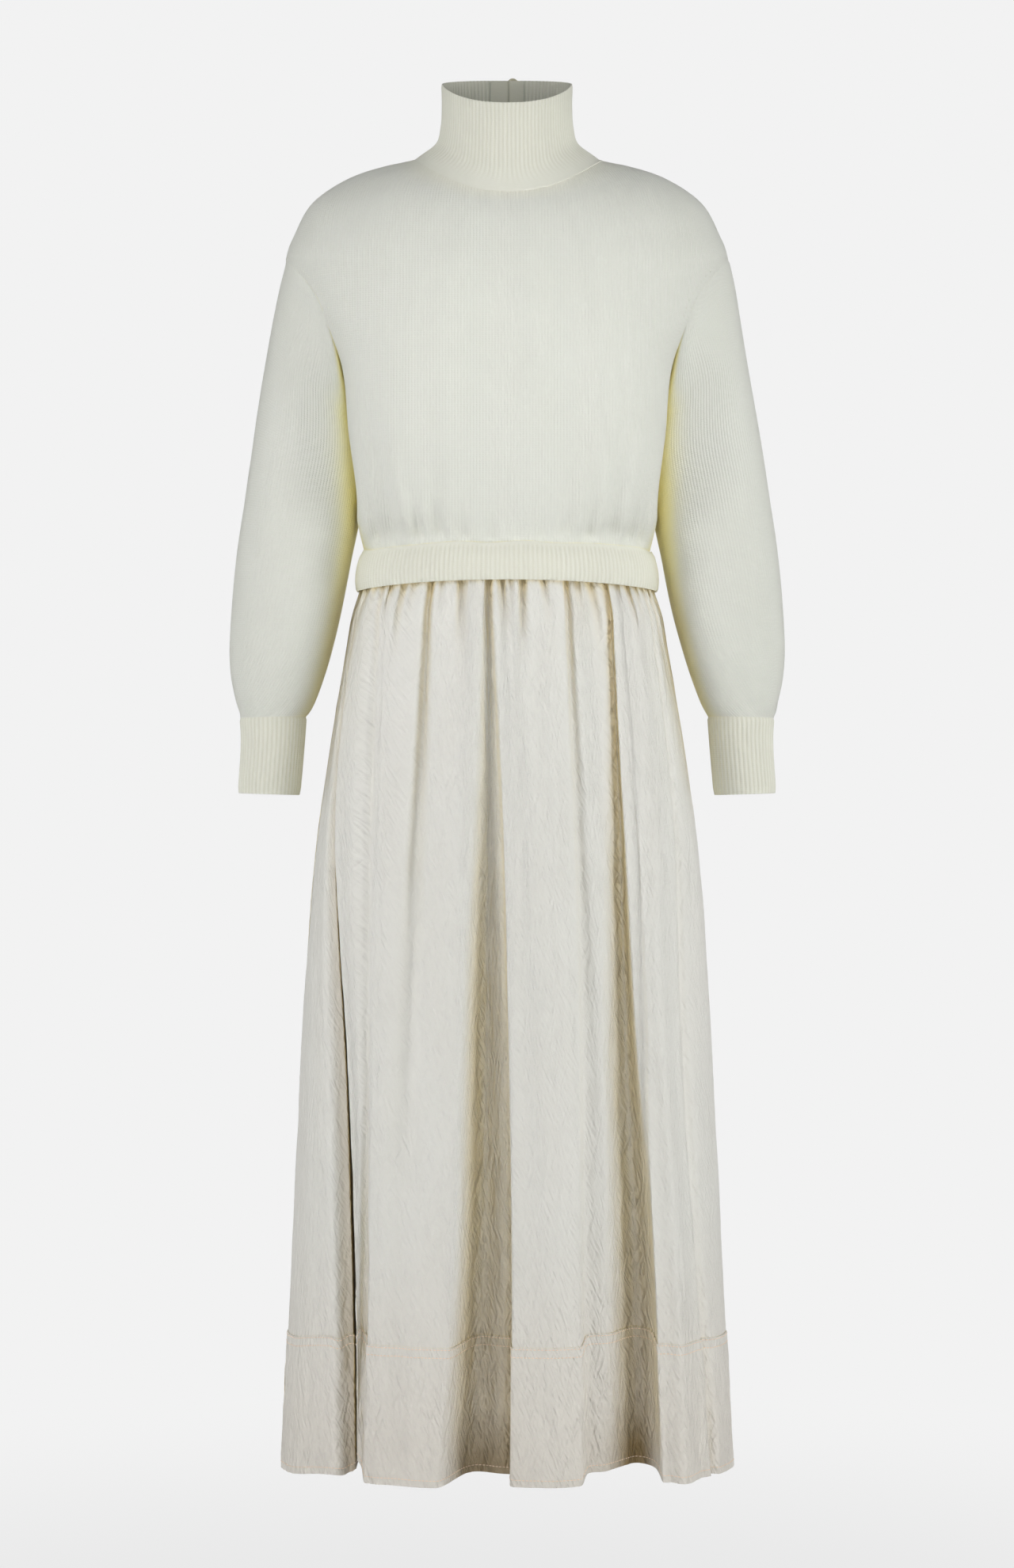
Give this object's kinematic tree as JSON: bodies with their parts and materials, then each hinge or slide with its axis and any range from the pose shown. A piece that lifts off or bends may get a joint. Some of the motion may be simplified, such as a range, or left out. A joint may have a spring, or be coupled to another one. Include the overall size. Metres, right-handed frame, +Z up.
{
  "type": "turtleneck dress",
  "caption": "Long-sleeved turtleneck dress: fine knit top with ribbed collar, cuffs and waistband over a long gathered woven skirt with a deep hem band.",
  "frame": {"origin": "between the two points where the shoulder seams meet the neck seam, the level where a wearer's shoulders carry the dress", "axes": "+Z up, -Y towards the front of the dress, +X towards the wearer's left arm, which is at the right seen from the front"},
  "size_m": [0.5332, 0.3114, 1.3409],
  "materials": {
    "knit": "fine plain jersey knit, ivory with a faint green cast, soft and matte",
    "rib": "fine vertical rib knit, cream ivory, matte",
    "woven": "finely crinkled woven cloth, warm ivory with a low satin sheen",
    "button": "small polished ivory button",
    "thread": "twisted ivory thread loop"
  },
  "bodies": {
    "root": {"front_body": "knit", "back_body": "knit", "sleeve_left": "knit", "sleeve_right": "knit", "collar": "rib", "placket_left": "knit", "placket_right": "knit", "cuff_left": "rib", "cuff_right": "rib", "waistband": "rib", "skirt_front": "woven", "skirt_back": "woven", "hem_band_front": "woven", "hem_band_back": "woven", "neck_button": "button", "button_loop": "thread"}
  },
  "joints": []
}
